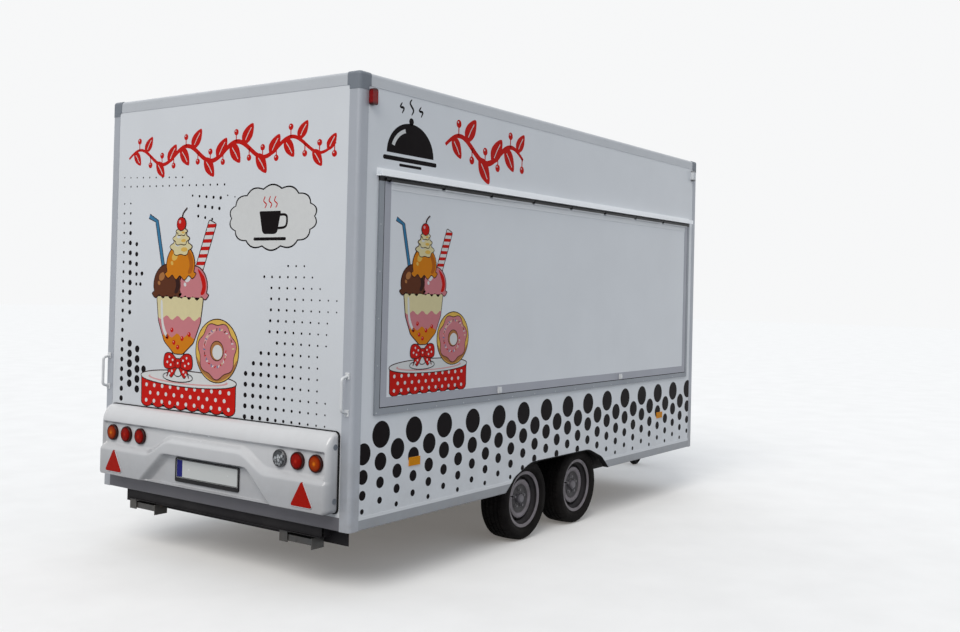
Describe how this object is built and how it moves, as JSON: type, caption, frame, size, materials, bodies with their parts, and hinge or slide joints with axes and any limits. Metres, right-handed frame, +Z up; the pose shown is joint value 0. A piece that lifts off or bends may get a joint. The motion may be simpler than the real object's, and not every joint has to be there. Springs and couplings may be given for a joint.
{
  "type": "food trailer",
  "caption": "Tandem-axle food trailer with a top-hinged serving hatch, side entry door, moulded rear bumper, V drawbar, ball coupling and jockey wheel.",
  "frame": {"origin": "on the ground under the middle of the whole trailer, from rear bumper to coupling nose", "axes": "+X forward along the drawbar, +Y the left side, +Z up"},
  "size_m": [5.6089, 2.128, 2.727],
  "materials": {
    "white_panel": "satin white sandwich panel",
    "anodised": "satin anodised extrusion",
    "corner_plastic": "grey moulded plastic",
    "bumper_white": "glossy off-white moulding",
    "plate_holder": "black moulded holder round a blank white plate",
    "lamp_lens": "red, amber and clear lenses",
    "reflector_red": "red reflector with a pale rim",
    "reflector_amber": "amber reflector",
    "white_fitting": "white fitting",
    "galvanised": "hot-dip galvanised steel",
    "rim_silver": "silver-painted pressed steel",
    "hub_steel": "cast drum with a pale dust cap",
    "tyre": "black rubber",
    "rubber": "black rubber",
    "black_steel": "black painted steel",
    "floor_top": "grey non-slip coated plywood"
  },
  "bodies": {
    "trailer_body": {"axle_beams": "galvanised", "corner_posts": "anodised", "coupling_bellows": "rubber", "coupling_head": "galvanised", "cross_members": "galvanised", "door_frame": "anodised", "drawbar_rails": "galvanised", "floor_panel": "floor_top", "front_wall": "white_panel", "grab_handles": "white_fitting", "handbrake_lever": "galvanised", "hatch_frame": "anodised", "jockey_clamp": "galvanised", "jockey_crank": "galvanised", "jockey_outer_tube": "galvanised", "left_wall": "white_panel", "marker_lamps": "lamp_lens", "number_plate": "plate_holder", "overrun_housing": "black_steel", "rain_gutter": "anodised", "rear_beam": "galvanised", "rear_bumper_panel": "bumper_white", "rear_lamps": "lamp_lens", "rear_wall": "white_panel", "right_wall": "white_panel", "roof_corner_caps": "corner_plastic", "roof_edge_profiles": "anodised", "roof_panel": "white_panel", "side_rails": "galvanised", "side_reflectors": "reflector_amber", "sill_profiles": "anodised", "steady_brackets": "galvanised", "swing_arms": "galvanised", "triangle_reflectors": "reflector_red", "wheel_boxes": "corner_plastic"},
    "serving_hatch": {"serving_hatch": "white_panel", "hatch_border": "anodised", "hatch_catches": "white_fitting"},
    "strut_cylinders": {"strut_cylinders": "black_steel"},
    "strut_rods": {"strut_rods": "galvanised"},
    "entry_door": {"entry_door": "white_panel", "door_hinges": "white_fitting", "door_handle": "black_steel"},
    "jockey_inner_tube": {"jockey_inner_tube": "galvanised"},
    "jockey_fork": {"jockey_fork": "galvanised"},
    "jockey_wheel": {"jockey_wheel": "rubber"},
    "right_steady_leg": {"right_steady_leg": "galvanised"},
    "left_steady_leg": {"left_steady_leg": "galvanised"},
    "rear_left_wheel": {"rear_left_tyre": "tyre", "rear_left_rim": "rim_silver", "rear_left_hub": "hub_steel"},
    "rear_right_wheel": {"rear_right_tyre": "tyre", "rear_right_rim": "rim_silver", "rear_right_hub": "hub_steel"},
    "front_left_wheel": {"front_left_tyre": "tyre", "front_left_rim": "rim_silver", "front_left_hub": "hub_steel"},
    "front_right_wheel": {"front_right_tyre": "tyre", "front_right_rim": "rim_silver", "front_right_hub": "hub_steel"}
  },
  "joints": [
    {"name": "hatch_hinge", "type": "hinge", "parent": "trailer_body", "child": "serving_hatch", "pos_m": [0, -1.0425, 2.184], "axis": [-1, 0, 0], "range_deg": [0, 85]},
    {"name": "strut_pivot", "type": "hinge", "parent": "trailer_body", "child": "strut_cylinders", "pos_m": [0, -0.9425, 1.18], "axis": [-1, 0, 0], "range_deg": [0, 21.2]},
    {"name": "strut_slide", "type": "slide", "parent": "strut_cylinders", "child": "strut_rods", "axis": [0, 0, 1], "range_m": [0, 0.1937]},
    {"name": "door_hinge", "type": "hinge", "parent": "trailer_body", "child": "entry_door", "pos_m": [0.792, 1.0405, 0.47], "axis": [0, 0, -1], "range_deg": [0, 110]},
    {"name": "jockey_slide", "type": "slide", "parent": "trailer_body", "child": "jockey_inner_tube", "axis": [0, 0, 1], "range_m": [0, 0.13]},
    {"name": "jockey_swivel", "type": "hinge", "parent": "jockey_inner_tube", "child": "jockey_fork", "pos_m": [2.364, -0.092, 0.208], "axis": [0, 0, 1], "continuous": true},
    {"name": "jockey_wheel_spin", "type": "hinge", "parent": "jockey_fork", "child": "jockey_wheel", "pos_m": [2.329, -0.092, 0.1], "axis": [0, 1, 0], "continuous": true},
    {"name": "right_steady_fold", "type": "hinge", "parent": "trailer_body", "child": "right_steady_leg", "pos_m": [-2.6465, -0.52, 0.257], "axis": [1, 0, 0], "range_deg": [0, 90]},
    {"name": "left_steady_fold", "type": "hinge", "parent": "trailer_body", "child": "left_steady_leg", "pos_m": [-2.6465, 0.77, 0.257], "axis": [1, 0, 0], "range_deg": [0, 90]},
    {"name": "rear_left_wheel_spin", "type": "hinge", "parent": "trailer_body", "child": "rear_left_wheel", "pos_m": [-0.94105, 0.868, 0.262], "axis": [0, 1, 0], "continuous": true},
    {"name": "rear_right_wheel_spin", "type": "hinge", "parent": "trailer_body", "child": "rear_right_wheel", "pos_m": [-0.94105, -0.868, 0.262], "axis": [0, 1, 0], "continuous": true},
    {"name": "front_left_wheel_spin", "type": "hinge", "parent": "trailer_body", "child": "front_left_wheel", "pos_m": [-0.27105, 0.868, 0.262], "axis": [0, 1, 0], "continuous": true},
    {"name": "front_right_wheel_spin", "type": "hinge", "parent": "trailer_body", "child": "front_right_wheel", "pos_m": [-0.27105, -0.868, 0.262], "axis": [0, 1, 0], "continuous": true}
  ],
  "couplings": [
    {"joint": "strut_pivot", "follows": "hatch_hinge", "ratio": 0.24877},
    {"joint": "strut_slide", "follows": "hatch_hinge", "m_per_rad": 0.13024}
  ]
}
